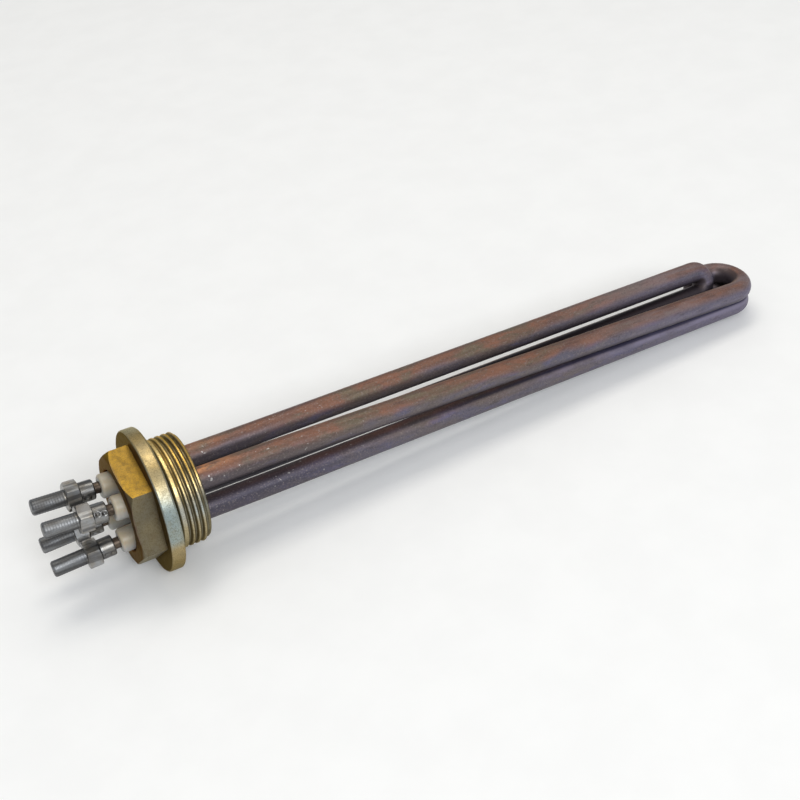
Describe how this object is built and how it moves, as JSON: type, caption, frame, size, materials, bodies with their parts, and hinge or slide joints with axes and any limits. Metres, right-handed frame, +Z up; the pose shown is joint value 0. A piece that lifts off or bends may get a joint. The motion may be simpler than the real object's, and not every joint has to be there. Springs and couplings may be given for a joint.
{
  "type": "immersion heating element",
  "caption": "Screw-in immersion heating element: a hex-headed flanged plug carries folded metal-sheathed heating loops and threaded electric terminals.",
  "frame": {"origin": "centre of the flange's sealing face, on the axis of the thread", "axes": "+X along the thread axis from the plug towards the far ends of the loops; +Z up in the picture's pose; the plain loop is on the +Y side"},
  "size_m": [0.3249, 0.0544, 0.0544],
  "materials": {
    "brass": "satin",
    "copper": "oxidised, satin",
    "plated_steel": "dull zinc plate",
    "steel_pin": "dark, satin",
    "ceramic": "glazed cream",
    "sealing_resin": "matte",
    "magnesia": "packed powder",
    "resistance_alloy": "satin",
    "braze_alloy": "satin"
  },
  "bodies": {
    "root": {"plug": "brass", "sheath_far": "copper", "sheath_near": "copper", "filling_far": "magnesia", "filling_near": "magnesia", "coil_far": "resistance_alloy", "coil_near": "resistance_alloy", "pin_far_top": "steel_pin", "pin_near_top": "steel_pin", "pin_near_bottom": "steel_pin", "pin_far_bottom": "steel_pin", "bead_far_top": "ceramic", "bead_near_top": "ceramic", "bead_near_bottom": "ceramic", "bead_far_bottom": "ceramic", "seal_far_top": "sealing_resin", "seal_near_top": "sealing_resin", "seal_near_bottom": "sealing_resin", "seal_far_bottom": "sealing_resin", "stud_far_top": "plated_steel", "stud_near_top": "plated_steel", "stud_near_bottom": "plated_steel", "stud_far_bottom": "plated_steel", "nut_far_top": "plated_steel", "nut_near_top": "plated_steel", "nut_near_bottom": "plated_steel", "nut_far_bottom": "plated_steel", "braze_far_top": "braze_alloy", "braze_near_top": "braze_alloy", "braze_near_bottom": "braze_alloy", "braze_far_bottom": "braze_alloy"}
  },
  "joints": []
}
